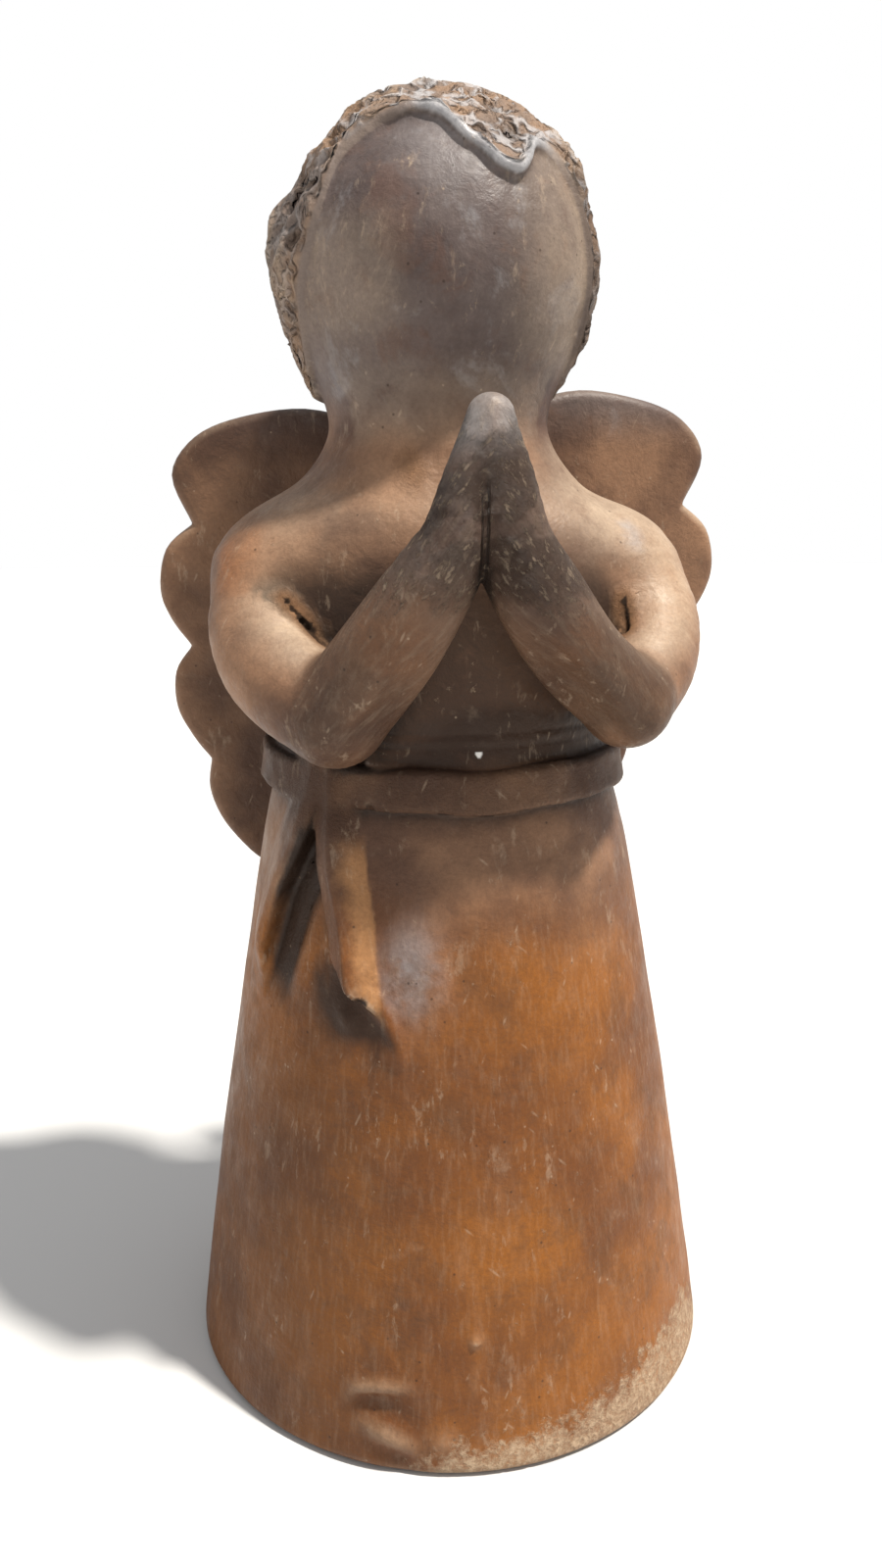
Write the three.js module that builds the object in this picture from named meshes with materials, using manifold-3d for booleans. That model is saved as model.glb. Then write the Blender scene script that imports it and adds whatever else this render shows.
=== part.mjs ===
// Terracotta angel: a hand-modelled clay figure with a blank face, curled hair, scalloped wings and
// praying hands, fired in one piece. It is hollow from the open foot to the crown, as a fired figure is.
// Millimetres, +Z up. The figure faces -Y and stands on z = 0, with the origin in the middle of its foot.
import * as THREE from "three";
import { mergeVertices } from "three/addons/utils/BufferGeometryUtils.js";
import Module from "manifold-3d";

const wasm = await Module();
wasm.setup();

// Skirt, torso, neck and head: one turned outline, from the foot up
const WALL = 9;
const HEM_RADIUS = 87.5;
const HEM_EDGE = 2.5;
const HEM_STEPS = 2;
const SKIRT_SWELL = 0.9;
const SKIRT_HEIGHT = 166;
const SKIRT_TOP_RADIUS = 61;
const WAIST_RADIUS = 53.5;
const WAIST_Z = 202;
const CHEST_RADIUS = 51;
const CHEST_Z = 240;
const CHEST_DEPTH_SHARE = 0.92;
const SHOULDER_Z = 262;
const SHOULDER_SPREAD = 0.45;
const NECK_RADIUS = 33;
const NECK_Z = 304;
const HEAD_RADIUS = 46.3;
const HEAD_Z = 347.5;
const HEAD_LEAN = -4.3;
const HEAD_STEPS = 8;
const JAW_STEP = 3;
const HOLLOW_TOP_Z = 292;
const DOME_RISE = 14;
const DOME_STEPS = 3;
const OUTLINE_STEPS = 30;
const OUTLINE_SIDES = 36;
const CAVITY_STEPS = 14;
const CAVITY_SIDES = 20;

// Hair: a thick cap of pressed curls that leaves the blank face free
const HAIR_THICKNESS = 2;
const HAIR_SIDES = 48;
const HAIR_ROWS = 5;
const CURL_ROWS = 3;
const CURL_STEPS = 4;
const CURL_HEIGHT = 2.8;
const CURL_REACH = 0.56;
const CURL_DRIFT = 0.12;
const CURL_DRIFT_WAVES = 3;
const ICOSAHEDRON_EDGE = Math.atan(2);
// The hairline: [degrees round the head from the face's middle, degrees above the head's centre].
const HAIRLINE = [
  [-180, -52],
  [-95, -46],
  [-83, -42],
  [-69, -30],
  [-60, -13],
  [-53, 0],
  [-48, 14],
  [-45, 26],
  [-37.5, 36],
  [-30, 38.5],
  [-22, 40],
  [-15, 40],
  [-7.5, 38.5],
  [0, 34],
  [7.5, 27],
  [15, 20.5],
  [22.5, 18],
  [30, 25.5],
  [37.5, 32.5],
  [45, 33],
  [52.5, 23],
  [58, 11],
  [62, -3],
  [66, -21],
  [72, -33],
  [95, -45],
  [180, -52],
];

// Arms: [sideways, forwards, up, radius] along each limb, which the elbow joins
const UPPER_ARM = [
  [50, -6, 256, 22],
  [58, -19, 246, 18],
  [57, -32, 236, 15.5],
  [50, -43, 229, 14.5],
];
const FOREARM = [
  [28, -62, 240, 13.2],
  [16, -69, 257, 12],
  [8, -73, 271, 10],
  [4.3, -74.5, 287, 7.6],
  [0.9, -74, 302.5, 4.6],
];
const ELBOW_RADIUS = 13.5;
const LEFT_ARM = { side: -1, elbow: [-38, -52, 223], spread: 1, thickness: 1.03 };
const RIGHT_ARM = { side: 1, elbow: [44.5, -52, 226], spread: 0.95, thickness: 0.95 };
const HANDS_SHIFT = 2;
const ARM_SIDES = 12;
const ARM_STEPS = 12;

// Wings: flat slabs with four scallops each, standing out from the back
const WING_THICKNESS = 8;
const WING_EDGE = 2.5;
const WING_ROOT_Y = 43;
const WING_SWEEP = 0.12;
const WING_CURVE_STEPS = 3;
const WING_INNER = [
  [58, 149],
  [40, 160],
  [24, 190],
  [14, 235],
  [14, 290],
  [20, 306],
];
// The scallops from the top down, each a smooth run of [sideways, up] that ends in a notch.
const SCALLOPS = [
  [[20, 306], [42, 311], [64, 308.5], [80, 302], [88.5, 289], [82, 272.5]],
  [[82, 272.5], [91.5, 264], [94.5, 250], [91, 239], [84.5, 230]],
  [[84.5, 230], [90.5, 221], [90.5, 208], [85, 197], [79, 189]],
  [[79, 189], [80, 178], [75, 165], [65, 153], [58, 149]],
];
const LEFT_WING = { side: -1, shift: [2.3, 0], tuck: 0 };
const RIGHT_WING = { side: 1, shift: [8.5, 6.5], tuck: 0.32 };
const WING_TUCK_Z = 232;

// Sash: a flat belt and the two tails that fan out of it
const BELT_Z = 201;
const BELT_HEIGHT = 12.5;
const BELT_PROUD = 4.5;
const BELT_EDGE = 2.5;
const BELT_SIDES = 36;
const KNOT_AZIMUTH = -49;
const KNOT_SIZE = [13, 6, 11];
const KNOT_SIDES = 10;
// Each tail: [degrees round the skirt, height] down its middle, then its half-widths at both ends.
const TAILS = [
  { run: [[-50, 203], [-54, 186], [-58, 164], [-58.5, 144], [-56, 128]], width: [7, 6.5], proud: 6 },
  { run: [[-40, 203], [-36.5, 184], [-32, 166], [-29, 152], [-27, 138]], width: [10.5, 8.5], proud: 7.5 },
];
const TAIL_SINK = 4;
const TAIL_STEPS = 8;
// Across a tail, from its left edge to its right: [share of the half-width, share of the height].
const TAIL_SECTION = [[-0.92, 0.45], [-0.25, 1], [0.3, 0.9]];

const CLAY = new THREE.MeshStandardMaterial({ color: 0x9a6240, roughness: 0.72, metalness: 0 });
const { clamp, degToRad, lerp, radToDeg, smoothstep } = THREE.MathUtils;

function solid(geometry) {
  geometry.deleteAttribute("normal");
  geometry.deleteAttribute("uv");
  const merged = mergeVertices(geometry, 1e-3);
  const mesh = new wasm.Mesh({
    numProp: 3,
    vertProperties: merged.attributes.position.array,
    triVerts: new Uint32Array(merged.index.array),
  });
  return new wasm.Manifold(mesh);
}

function geometryOf(manifold) {
  const mesh = manifold.getMesh();
  const geometry = new THREE.BufferGeometry();
  geometry.setAttribute("position", new THREE.BufferAttribute(mesh.vertProperties, 3));
  geometry.setIndex(new THREE.BufferAttribute(mesh.triVerts, 1));
  geometry.computeVertexNormals();
  return geometry;
}

// Moves every vertex of a geometry: place(v) changes the vector it is given.
function reshape(geometry, place) {
  const position = geometry.attributes.position;
  const v = new THREE.Vector3();
  for (let i = 0; i < position.count; i++) {
    v.fromBufferAttribute(position, i);
    place(v);
    position.setXYZ(i, v.x, v.y, v.z);
  }
  return geometry;
}

// Turns every face of a geometry without an index round, after a mirroring.
function turnFaces(geometry) {
  const position = geometry.attributes.position;
  const a = new THREE.Vector3();
  const b = new THREE.Vector3();
  for (let i = 0; i < position.count; i += 3) {
    a.fromBufferAttribute(position, i);
    b.fromBufferAttribute(position, i + 1);
    position.setXYZ(i, b.x, b.y, b.z);
    position.setXYZ(i + 1, a.x, a.y, a.z);
  }
  return geometry;
}

// Linear reading of a table of [key, value] rows, sorted by key.
function read(table, key) {
  const after = table.findIndex(([k]) => k >= key);
  if (after === 0) return table[0][1];
  if (after < 0) return table[table.length - 1][1];
  const [k0, v0] = table[after - 1];
  const [k1, v1] = table[after];
  return lerp(v0, v1, (key - k0) / (k1 - k0));
}

// The body's outline as (radius, height) points, from the hem to the crown.
function bodyOutline(steps) {
  const stations = [
    [HEM_RADIUS, HEM_EDGE],
    [lerp(HEM_RADIUS, SKIRT_TOP_RADIUS, 0.5) + SKIRT_SWELL, lerp(HEM_EDGE, SKIRT_HEIGHT, 0.5)],
    [SKIRT_TOP_RADIUS, SKIRT_HEIGHT],
    [lerp(SKIRT_TOP_RADIUS, WAIST_RADIUS, 0.5), lerp(SKIRT_HEIGHT, WAIST_Z, 0.5)],
    [WAIST_RADIUS, WAIST_Z],
    [CHEST_RADIUS, CHEST_Z],
    [lerp(CHEST_RADIUS, NECK_RADIUS, 0.3), lerp(CHEST_Z, NECK_Z, 0.48)],
    [lerp(CHEST_RADIUS, NECK_RADIUS, 0.78), lerp(CHEST_Z, NECK_Z, 0.73)],
    [NECK_RADIUS, NECK_Z],
  ];
  const jaw = Math.asin((NECK_RADIUS + JAW_STEP) / HEAD_RADIUS);
  for (let i = 0; i <= HEAD_STEPS; i++) {
    const angle = lerp(jaw, Math.PI, i / HEAD_STEPS);
    stations.push([HEAD_RADIUS * Math.sin(angle), HEAD_Z - HEAD_RADIUS * Math.cos(angle)]);
  }
  const curve = new THREE.SplineCurve(stations.map(([r, z]) => new THREE.Vector2(r, z)));
  const points = curve.getSpacedPoints(steps);
  points[steps].x = 0;
  return points;
}

// The body's outline moved in by the wall, and closed by a dome under the neck.
function cavityOutline(steps) {
  const outer = bodyOutline(steps * 4);
  const points = [];
  for (let i = 4; i < outer.length; i += 4) {
    const along = new THREE.Vector2().subVectors(outer[i], outer[i - 1]).normalize();
    points.push(new THREE.Vector2(outer[i].x - along.y * WALL, outer[i].y + along.x * WALL));
  }
  const sides = points.filter((point) => point.y < HOLLOW_TOP_Z - DOME_RISE);
  const rim = sides[sides.length - 1];
  for (let i = 1; i <= DOME_STEPS; i++) {
    const angle = (Math.PI / 2) * (i / DOME_STEPS);
    const z = lerp(rim.y, HOLLOW_TOP_Z, Math.sin(angle));
    sides.push(new THREE.Vector2(i < DOME_STEPS ? rim.x * Math.cos(angle) : 0, z));
  }
  return sides;
}

function leanAt(z) {
  return (HEAD_LEAN * z) / HEAD_Z;
}

// Gives a turned form the figure's flatter chest, its broad shoulders and its slight lean.
function pose(v) {
  const chest = smoothstep(v.z, SKIRT_HEIGHT, CHEST_Z) * (1 - smoothstep(v.z, CHEST_Z, NECK_Z));
  const shoulder = smoothstep(v.z, WAIST_Z, SHOULDER_Z) * (1 - smoothstep(v.z, SHOULDER_Z, NECK_Z));
  v.y *= lerp(1, CHEST_DEPTH_SHARE, chest);
  v.x *= 1 + SHOULDER_SPREAD * shoulder;
  v.x += leanAt(v.z);
}

function turned(points, sides) {
  const geometry = new THREE.LatheGeometry(points, sides);
  geometry.rotateX(Math.PI / 2);
  return solid(reshape(geometry, pose));
}

function body() {
  const hem = [new THREE.Vector2(0, 0)];
  for (let i = 0; i < HEM_STEPS; i++) {
    const angle = (Math.PI / 2) * (i / HEM_STEPS);
    const radius = HEM_RADIUS - HEM_EDGE * (1 - Math.sin(angle));
    hem.push(new THREE.Vector2(radius, HEM_EDGE * (1 - Math.cos(angle))));
  }
  return turned([...hem, ...bodyOutline(OUTLINE_STEPS)], OUTLINE_SIDES);
}

function cavity() {
  const below = -HEM_EDGE;
  const mouth = HEM_RADIUS - WALL;
  const foot = [new THREE.Vector2(0, below), new THREE.Vector2(mouth, below)];
  return turned([...foot, ...cavityOutline(CAVITY_STEPS)], CAVITY_SIDES);
}

function bodyRadius(z) {
  const table = bodyOutline(OUTLINE_STEPS).map((point) => [point.y, point.x]);
  return read(table, z);
}

function headPoint(azimuth, elevation, radius) {
  const a = degToRad(azimuth);
  const e = degToRad(elevation);
  const flat = radius * Math.cos(e);
  return new THREE.Vector3(
    flat * Math.sin(a) + leanAt(HEAD_Z),
    -flat * Math.cos(a),
    HEAD_Z + radius * Math.sin(e),
  );
}

// A ball of pressed curls, one on each corner of a coarse geodesic sphere.
function curlBall() {
  const corners = new THREE.IcosahedronGeometry(1, CURL_ROWS - 1).attributes.position;
  const centres = Array.from({ length: corners.count }, (_, i) => {
    return new THREE.Vector3().fromBufferAttribute(corners, i).normalize();
  });
  const reach = (ICOSAHEDRON_EDGE / CURL_ROWS) * CURL_REACH;
  const middle = headPoint(0, 0, 0);
  return solid(
    reshape(new THREE.IcosahedronGeometry(1, CURL_ROWS * CURL_STEPS - 1), (v) => {
      v.normalize();
      const nearest = Math.min(...centres.map((centre) => v.angleTo(centre)));
      const dome = 1 - Math.min(nearest / reach, 1) ** 2;
      v.x += CURL_DRIFT * Math.sin(CURL_DRIFT_WAVES * v.y);
      v.z += CURL_DRIFT * Math.sin(CURL_DRIFT_WAVES * v.x);
      v.setLength(HEAD_RADIUS + HAIR_THICKNESS + CURL_HEIGHT * dome).add(middle);
    }),
  );
}

// Everything on the hair's side of the hairline, as seen from the head's centre.
function hairSide() {
  const rows = HAIR_ROWS + 1;
  const radius = HEAD_RADIUS + HAIR_THICKNESS + 2 * CURL_HEIGHT;
  const geometry = new THREE.SphereGeometry(1, HAIR_SIDES, rows);
  geometry.rotateX(Math.PI / 2);
  return solid(
    reshape(geometry, (v) => {
      const row = Math.round((Math.acos(clamp(v.z, -1, 1)) / Math.PI) * rows);
      const azimuth = radToDeg(Math.atan2(v.x, -v.y));
      const elevation = lerp(90, read(HAIRLINE, azimuth), row / HAIR_ROWS);
      v.copy(row > HAIR_ROWS ? headPoint(0, 0, 0) : headPoint(azimuth, elevation, radius));
    }),
  );
}

function hair() {
  return curlBall().intersect(hairSide());
}

// A round limb along a smooth path, with rounded ends; rows are [x, y, z, radius].
function limb(rows) {
  const path = new THREE.CatmullRomCurve3(rows.map(([x, y, z]) => new THREE.Vector3(x, y, z)));
  const radii = rows.map((row, i) => [i / (rows.length - 1), row[3]]);
  const frames = path.computeFrenetFrames(ARM_STEPS * 4);
  const length = path.getLength();
  const geometry = new THREE.SphereGeometry(1, ARM_SIDES, ARM_STEPS);
  const first = rows[0][3];
  const last = rows[rows.length - 1][3];
  return solid(
    reshape(geometry, (v) => {
      const reach = lerp(-first, length + last, (1 - v.y) / 2);
      const share = clamp(reach / length, 0, 1);
      const over = Math.max(-reach / first, (reach - length) / last, 0);
      const round = Math.sqrt(Math.max(1 - over ** 2, 0));
      const ring = new THREE.Vector2(v.x, v.z);
      if (ring.length() > 1e-6) ring.normalize();
      const radius = read(radii, path.getUtoTmapping(share)) * round;
      const frame = Math.round(share * ARM_STEPS * 4);
      const beyond = reach - clamp(reach, 0, length);
      v.copy(path.getPointAt(share))
        .addScaledVector(frames.tangents[frame], beyond)
        .addScaledVector(frames.normals[frame], ring.x * radius)
        .addScaledVector(frames.binormals[frame], ring.y * radius);
    }),
  );
}

function arm({ side, elbow, spread, thickness }) {
  const place = ([x, y, z, radius]) => [side * x * spread + HANDS_SHIFT, y, z, radius * thickness];
  const bend = [...elbow, ELBOW_RADIUS * thickness];
  return limb([...UPPER_ARM.map(place), bend]).add(limb([bend, ...FOREARM.map(place)]));
}

// The wing's outline seen from the front: x is sideways, y is up.
function wingShape() {
  const points = (rows) => rows.slice(1).map(([x, y]) => new THREE.Vector2(x, y));
  const shape = new THREE.Shape();
  shape.moveTo(...SCALLOPS[0][0]);
  for (const scallop of SCALLOPS) shape.splineThru(points(scallop));
  for (const [x, y] of WING_INNER.slice(1, -1)) shape.lineTo(x, y);
  shape.closePath();
  return shape;
}

function wing({ side, shift, tuck }) {
  const geometry = new THREE.ExtrudeGeometry(wingShape(), {
    depth: WING_THICKNESS - 2 * WING_EDGE,
    bevelThickness: WING_EDGE,
    bevelSize: WING_EDGE,
    bevelOffset: -WING_EDGE,
    bevelSegments: 1,
    curveSegments: WING_CURVE_STEPS,
  });
  reshape(geometry, (v) => {
    const x = v.x + shift[0] - tuck * Math.max(WING_TUCK_Z - v.y, 0);
    v.set(side * x, WING_ROOT_Y + WING_SWEEP * x + v.z, v.y + shift[1]);
  });
  return solid(side > 0 ? turnFaces(geometry) : geometry);
}

function belt() {
  const outer = WAIST_RADIUS + BELT_PROUD;
  const low = BELT_Z - BELT_HEIGHT / 2;
  const high = BELT_Z + BELT_HEIGHT / 2;
  const section = [
    [outer - WALL, low],
    [outer - BELT_EDGE, low],
    [outer, low + BELT_EDGE],
    [outer, high - BELT_EDGE],
    [outer - BELT_EDGE, high],
    [outer - WALL, high],
    [outer - WALL, low],
  ];
  return turned(section.map(([r, z]) => new THREE.Vector2(r, z)), BELT_SIDES);
}

// A point at a height and a bearing, standing proud of the skirt.
function onSkirt(degrees, z, proud) {
  const angle = degToRad(degrees);
  const radius = bodyRadius(z) + proud;
  return new THREE.Vector3(radius * Math.sin(angle) + leanAt(z), -radius * Math.cos(angle), z);
}

function knot() {
  const geometry = new THREE.SphereGeometry(1, KNOT_SIDES, KNOT_SIDES / 2);
  const place = onSkirt(KNOT_AZIMUTH, BELT_Z, 0);
  geometry.scale(...KNOT_SIZE).rotateZ(degToRad(KNOT_AZIMUTH)).translate(place.x, place.y, place.z);
  return solid(geometry);
}

// A strip of clay with a ridged section, pressed on to the skirt.
function tail({ run, width, proud }) {
  const edge = -TAIL_SINK / proud;
  const section = [[-1, edge], ...TAIL_SECTION, [1, edge]];
  const middle = new THREE.SplineCurve(run.map(([degrees, z]) => new THREE.Vector2(degrees, z)));
  const geometry = new THREE.CylinderGeometry(1, 1, 1, section.length, TAIL_STEPS);
  return solid(
    reshape(geometry, (v) => {
      const share = 0.5 - v.y;
      const at = middle.getPoint(share);
      const onAxis = Math.hypot(v.x, v.z) < 1e-6;
      const corner = Math.round((Math.atan2(v.x, v.z) / (2 * Math.PI)) * section.length);
      const [across, out] = onAxis ? [0, 0] : section[(corner + section.length) % section.length];
      const half = lerp(width[0], width[1], share);
      const degrees = at.x + radToDeg((across * half) / bodyRadius(at.y));
      v.copy(onSkirt(degrees, at.y, out * proud));
    }),
  );
}

// Puts the origin under the middle of the figure's overall width and depth.
function centred(geometry) {
  geometry.computeBoundingBox();
  const middle = geometry.boundingBox.getCenter(new THREE.Vector3());
  return geometry.translate(-middle.x, -middle.y, 0);
}

function angel() {
  const parts = [
    arm(LEFT_ARM),
    arm(RIGHT_ARM),
    wing(LEFT_WING),
    wing(RIGHT_WING),
    belt(),
    knot(),
    ...TAILS.map(tail),
    hair(),
  ];
  const whole = parts.reduce((sum, part) => sum.add(part), body());
  const mesh = new THREE.Mesh(centred(geometryOf(whole.subtract(cavity()))), CLAY);
  mesh.name = "angel";
  return mesh;
}

const figure = new THREE.Group();
figure.add(angel());

export default figure;
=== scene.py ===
"""The terracotta angel's visible surface, its clay, the floor, the light and the camera."""

import math

import bpy
import numpy as np
from mathutils import Matrix


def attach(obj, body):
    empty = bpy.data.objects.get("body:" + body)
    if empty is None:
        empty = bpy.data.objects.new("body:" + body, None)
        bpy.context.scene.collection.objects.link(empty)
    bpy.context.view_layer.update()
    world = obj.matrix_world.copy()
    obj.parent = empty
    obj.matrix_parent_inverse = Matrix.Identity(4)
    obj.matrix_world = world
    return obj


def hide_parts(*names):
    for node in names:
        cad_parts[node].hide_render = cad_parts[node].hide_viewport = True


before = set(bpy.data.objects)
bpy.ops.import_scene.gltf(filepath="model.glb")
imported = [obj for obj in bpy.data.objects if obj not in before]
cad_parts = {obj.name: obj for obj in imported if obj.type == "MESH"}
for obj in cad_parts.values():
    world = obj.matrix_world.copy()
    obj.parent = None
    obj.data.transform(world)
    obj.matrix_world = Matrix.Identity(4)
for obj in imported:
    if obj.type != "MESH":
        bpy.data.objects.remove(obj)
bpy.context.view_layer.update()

MM = 0.001
AXIS_X = -3.109  # the figure's own axis in the row's frame; all shapes below are in mm round it
FAR = 60.0
NEAR = 30  # how far from a form its fine shapes are worked out
FINE_BLEND = 1.5
GOLDEN_ANGLE = math.pi * (3 - math.sqrt(5))
HEXAGON_SHARE = math.sqrt(3) / 2

# Body: (radius, height) stations of the turned form, from the hem to the neck
WALL = 9
HEM_EDGE = 4
LIP_EDGE = 3
SKIRT_HEIGHT = 166
WAIST_Z = 202
CHEST_Z = 240
CHEST_DEPTH_SHARE = 0.92
SHOULDER_Z = 262
SHOULDER_SPREAD = 0.45
NECK_Z = 304
NECK_TOP_Z = 322
STATIONS = [
    (87.7, -6),
    (87.5, 2.5),
    (75.15, 84.25),
    (61, 166),
    (57.25, 184),
    (53.5, 202),
    (51, 240),
    (45.6, 270.7),
    (36.96, 286.7),
    (33, 304),
    (33, 330),
]
HOLLOW_TOP_Z = 292
DOME_RISE = 14
DOME_RADIUS = 32
DOME_BLEND = 6
RING_GAP = 7.5  # the thrower's rings inside
RING_DEPTH = 0.35

# Head
HEAD_RADIUS = 46.3
HEAD_Z = 347.5
HEAD_LEAN = -4.3
HEAD_FOOT_Z = 285
NECK_BLEND = 12
HAIR_THICKNESS = 2.6
RIM_RISE = 1.1
RIM_IN = 1.8
RIM_WIDTH = 1.7
HAIR_EDGE = 1.6
HAIR_WANDER = [(11, 1, 0.3), (27, 0, 0.3)]  # waves round the head, phase and mm
RIM_WANDER = [(13, 2, 0.25), (31, 0, 0.2)]
HAIRLINE = [  # (azimuth, elevation) in degrees, azimuth 0 to the front and positive to +X
    (-180, -52),
    (-95, -46),
    (-83, -42),
    (-69, -30),
    (-60, -13),
    (-53, 0),
    (-48, 14),
    (-45, 27),
    (-38, 38),
    (-31, 43),
    (-23, 46),
    (-15, 47),
    (-7.5, 45.5),
    (0, 40),
    (7.5, 32.5),
    (16, 25),
    (24, 21.5),
    (30.5, 27.5),
    (37.5, 34),
    (44.5, 33.5),
    (51, 23),
    (55.5, 11),
    (59, -3),
    (64, -21),
    (72, -33),
    (95, -45),
    (180, -52),
]
CURL_GAP = 7.4
CURL_SEED = 11

# Arms: (sideways, forwards, up, radius)
UPPER_ARM = [(50, -6, 256, 22), (58, -19, 246, 18), (57, -32, 236, 15.5), (50, -43, 229, 14.5)]
LEFT_FOREARM = [
    (-26, -62, 240, 13.6),
    (-15.1, -69, 257, 11.9),
    (-7.2, -73, 271, 9.7),
    (-3.9, -74.5, 287, 6.7),
    (0.6, -74, 302.5, 4.7),
]
RIGHT_FOREARM = [
    (28.6, -62, 240, 12.5),
    (16.1, -69, 257, 12.1),
    (7.8, -73, 271, 10.6),
    (4.9, -74.5, 287, 8.1),
    (2.9, -74, 302.5, 4.4),
]
LEFT_ARM = {
    "spread": -1,
    "thickness": 1.03,
    "elbow": (-38, -52, 223, 13.9),
    "fore": LEFT_FOREARM,
    "flat": (0.40, -0.67, -0.62),
    "flat_out": 12.3,
}
RIGHT_ARM = {
    "spread": 0.95,
    "thickness": 0.95,
    "elbow": (44.5, -52, 226, 12.8),
    "fore": RIGHT_FOREARM,
    "flat": (-0.36, -0.64, -0.68),
    "flat_out": 11.6,
}
FLAT_EDGE = 1.2
HANDS_SHIFT = 2
SHOULDER_BLEND = (2, 12, 243, 266)  # below, above, and the heights between
HANDS_BLEND = (0.8, 5, 286, 297)
CRACKS = [  # slits in both crooks and beside the sash, and a pit in its end: x, y, z, radius
    [
        (-51.5, -36, 254, 0.3),
        (-48, -37.2, 249.5, 0.6),
        (-45, -38.8, 246, 1.1),
        (-41.6, -42, 242.5, 1.4),
    ],
    [
        (47.4, -33.2, 253, 0.3),
        (47.4, -35.2, 248.5, 0.9),
        (46.6, -39, 244.5, 1.4),
    ],
    [
        (-31, -51.3, 197.6, 0.8),
        (-28.6, -50.6, 196, 1.2),
        (-27.3, -49.8, 191, 1.1),
        (-26.3, -50.3, 186.5, 0.4),
    ],
    [
        (-33.5, -64.4, 142.4, 1.2),
        (-32.7, -62.6, 141, 1.4),
    ],
]

# Grooves on the belly: height and half-width
BELLY_GROOVES = [(212.5, 0.6), (216.5, 0.8)]
BELLY_GROOVE_DEPTH = 0.45
BELLY_HALF_WIDTH = 60  # in degrees

# Wings
WING_HALF = 4
WING_EDGE = 3.4
WING_MID_Y = 44.5
WING_SWEEP = 0.12
WING_BLEND = 6
WING_TUCK_Z = 232
WING_INNER = [(40, 160), (24, 190), (14, 235), (14, 290)]
SCALLOPS = [
    [(20, 306), (42, 311), (64, 308.5), (80, 302), (88.5, 289), (82, 272.5)],
    [(82, 272.5), (91.5, 264), (94.5, 250), (91, 239), (84.5, 230)],
    [(84.5, 230), (90.5, 221), (90.5, 208), (85, 197), (79, 189)],
    [(79, 189), (80, 178), (75, 165), (65, 153), (58, 149)],
]
LEFT_WING = {"side": -1, "shift": (2.3, 0), "tuck": 0}
RIGHT_WING = {"side": 1, "shift": (8.5, 6.5), "tuck": 0.32}

# Sash: azimuth in degrees and height along each tail
SASH_TOP_Z = 215
SASH_REACH = 95
BELT_Z = 201
BELT_HALF = 6.2
BELT_PROUD = 4.6
BELT_EDGE = 2.4
BELT_WANDER = [(5, 1, 0.6), (11, 0, 0.35)]  # waves round the waist, phase and mm
TAIL_A = {
    "run": [
        (-50, 210),
        (-55, 190),
        (-60, 177),
        (-63.5, 168),
        (-66, 157),
        (-68.5, 144),
        (-68.5, 132),
    ],
    "width": (8, 6.5),
    "slant": 0,
    "proud": (5.6, 4.8),
    "section": [(-1, 0.1), (-0.4, 0.5), (0.5, 1), (1, 0.95)],
    "fade": 22,
}
TAIL_B = {
    "run": [(-40, 210), (-38, 190), (-34.7, 174), (-31.8, 163), (-29.8, 150), (-28.4, 141)],
    "width": (9.4, 6.9),
    "slant": 1.2,
    "proud": (5.8, 8),
    "section": [(-1, 0.35), (-0.5, 0.6), (-0.05, 1), (0.1, 0.97), (1, 0.06)],
    "fade": 4,
}

GUTTER = [(-47.5, 191), (-51.8, 178), (-55.8, 168.5), (-58.5, 157), (-61, 145), (-61.5, 130)]
GUTTER_WIDTH = 10
GUTTER_DEPTH = 2.0

# Marks in the skirt's skin: a run of (azimuth, height), then its half-width and its rise in mm.
MARKS = [
    ([(-26.5, 147), (-21.5, 139), (-19, 132), (-17, 124)], 2.0, 2.2),
    ([(-33, 138), (-30, 131)], 3.0, 1.6),
    ([(-27, 21.5), (-25.5, 25), (-21, 27), (-15, 27.5)], 2.2, 1.7),
    ([(-23, 14.5), (-18, 12), (-13.5, 9)], 3.2, 1.8),
    ([(-25, 21.5), (-20, 21), (-13, 17)], 3.4, -1.1),
    ([(-19, 6), (-14, 3.5)], 3, -1.0),
    ([(-9, 13), (-6, 9)], 3.5, 0.9),
    ([(-0.6, 43), (-0.6, 41)], 1.7, 1.6),
    ([(-0.8, 35), (-1.5, 24)], 1.3, 0.35),
]

# Stains and marks: x, y, z and radius of the soot under the elbows; the run of the tail's cut end
SOOTY_ELBOWS = [
    [(-45, -66, 221, 5), (-34, -74, 236, 5)],
    [(46, -66, 221, 6), (34, -74, 235, 5)],
]
CUT_END = [(-35, 146), (-27.5, 136), (-20, 127)]
CRUST_TOP = [(-16, -6, 20, 45, 62, 80), (0, 9, 12, 21, 24, 0)]  # azimuths, and heights there
SPECK_PLACE = (2.7, -49.6, 211.7)
SPECK_REACH = 1.5

# The mesh: its first step, its final number of triangles and the corners that it lies within
STEP = 1.0
TRIANGLES = 185000
MESH_LOW = (-108, -95, -3.5)
MESH_HIGH = (108, 95, 404)


def ramp(x, low, high):
    """0 at the low end, 1 at the high end, and smooth between."""
    t = np.clip((x - low) / (high - low), 0, 1)
    return t * t * (3 - 2 * t)


def within(value, start, full, last, end):
    """1 from full to last, falling to 0 at the start and at the end."""
    return ramp(value, start, full) * (1 - ramp(value, last, end))


def spot(value, middle, half):
    """A soft spot: 1 at the middle, falling off over its half-width."""
    return np.exp(-(((value - middle) / half) ** 2))


def join(a, b, k):
    """The union of two distances, with a fillet of about k."""
    h = np.maximum(k - np.abs(a - b), 0) / k
    return np.minimum(a, b) - h * h * k / 4


def meet(a, b, k):
    """Where two distances overlap, with the edge rounded by about k."""
    return -join(-a, -b, k)


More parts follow.
